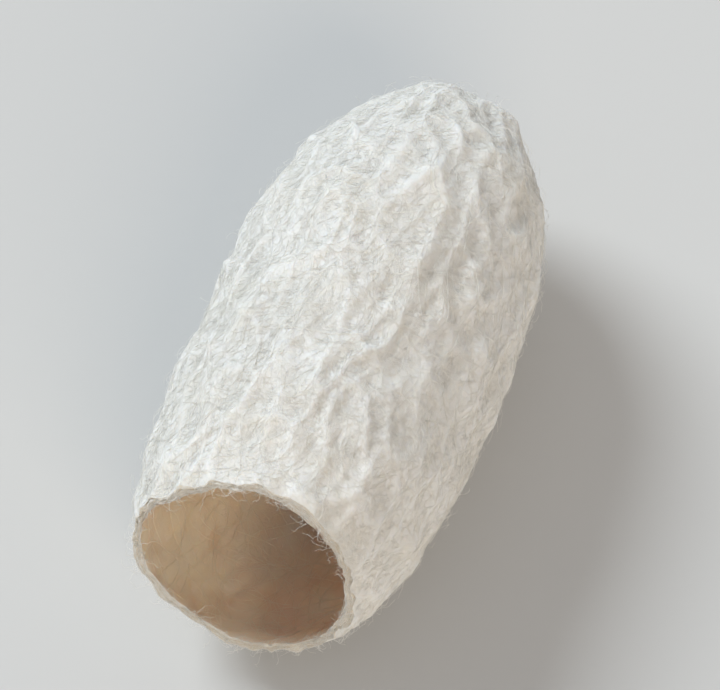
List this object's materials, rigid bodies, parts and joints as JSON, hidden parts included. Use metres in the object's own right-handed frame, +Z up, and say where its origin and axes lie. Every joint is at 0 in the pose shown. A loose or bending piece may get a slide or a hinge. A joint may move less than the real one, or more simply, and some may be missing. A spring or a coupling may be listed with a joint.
{
  "type": "silk cocoon",
  "caption": "Wrinkled oval silk cocoon lying on its side, one end cut off to open the hollow that a fingertip slips into.",
  "frame": {"origin": "on the surface that the cocoon rests on, under the middle of its bounding box", "axes": "+Z up, +Y along the cocoon towards its closed tip, with the cut mouth at -Y"},
  "size_m": [0.0186, 0.0364, 0.0168],
  "materials": {
    "silk": "matt warm white silk, crumpled, with a cream inside"
  },
  "bodies": {
    "root": {"cocoon": "silk"}
  },
  "joints": []
}
